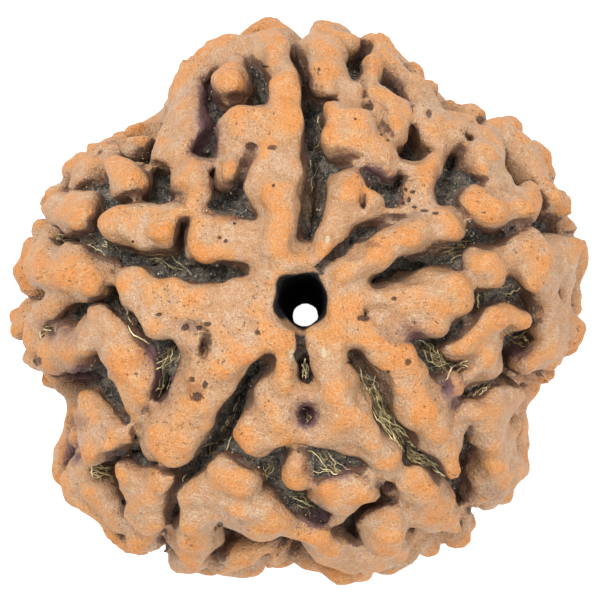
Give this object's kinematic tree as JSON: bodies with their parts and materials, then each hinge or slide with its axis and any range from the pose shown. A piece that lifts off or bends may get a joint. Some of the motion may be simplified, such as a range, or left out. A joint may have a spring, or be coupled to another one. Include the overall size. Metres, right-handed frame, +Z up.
{
  "type": "rudraksha seed",
  "caption": "Dried, deeply ridged stone of a rudraksha fruit with lengthwise seams and a natural stringing hole from end to end.",
  "frame": {"origin": "centre of the seed's footprint, on the plane it rests on", "axes": "+Z up the hole, +X along the greatest width, +Y completes the right-handed frame; seen down the hole from above with +X to the right, one seam points along +Y"},
  "size_m": [0.0231, 0.0227, 0.0191],
  "materials": {
    "dry_stone": "matte, slightly waxy on the crests, dark and fibrous in the grooves"
  },
  "bodies": {
    "root": {"seed": "dry_stone"}
  },
  "joints": []
}
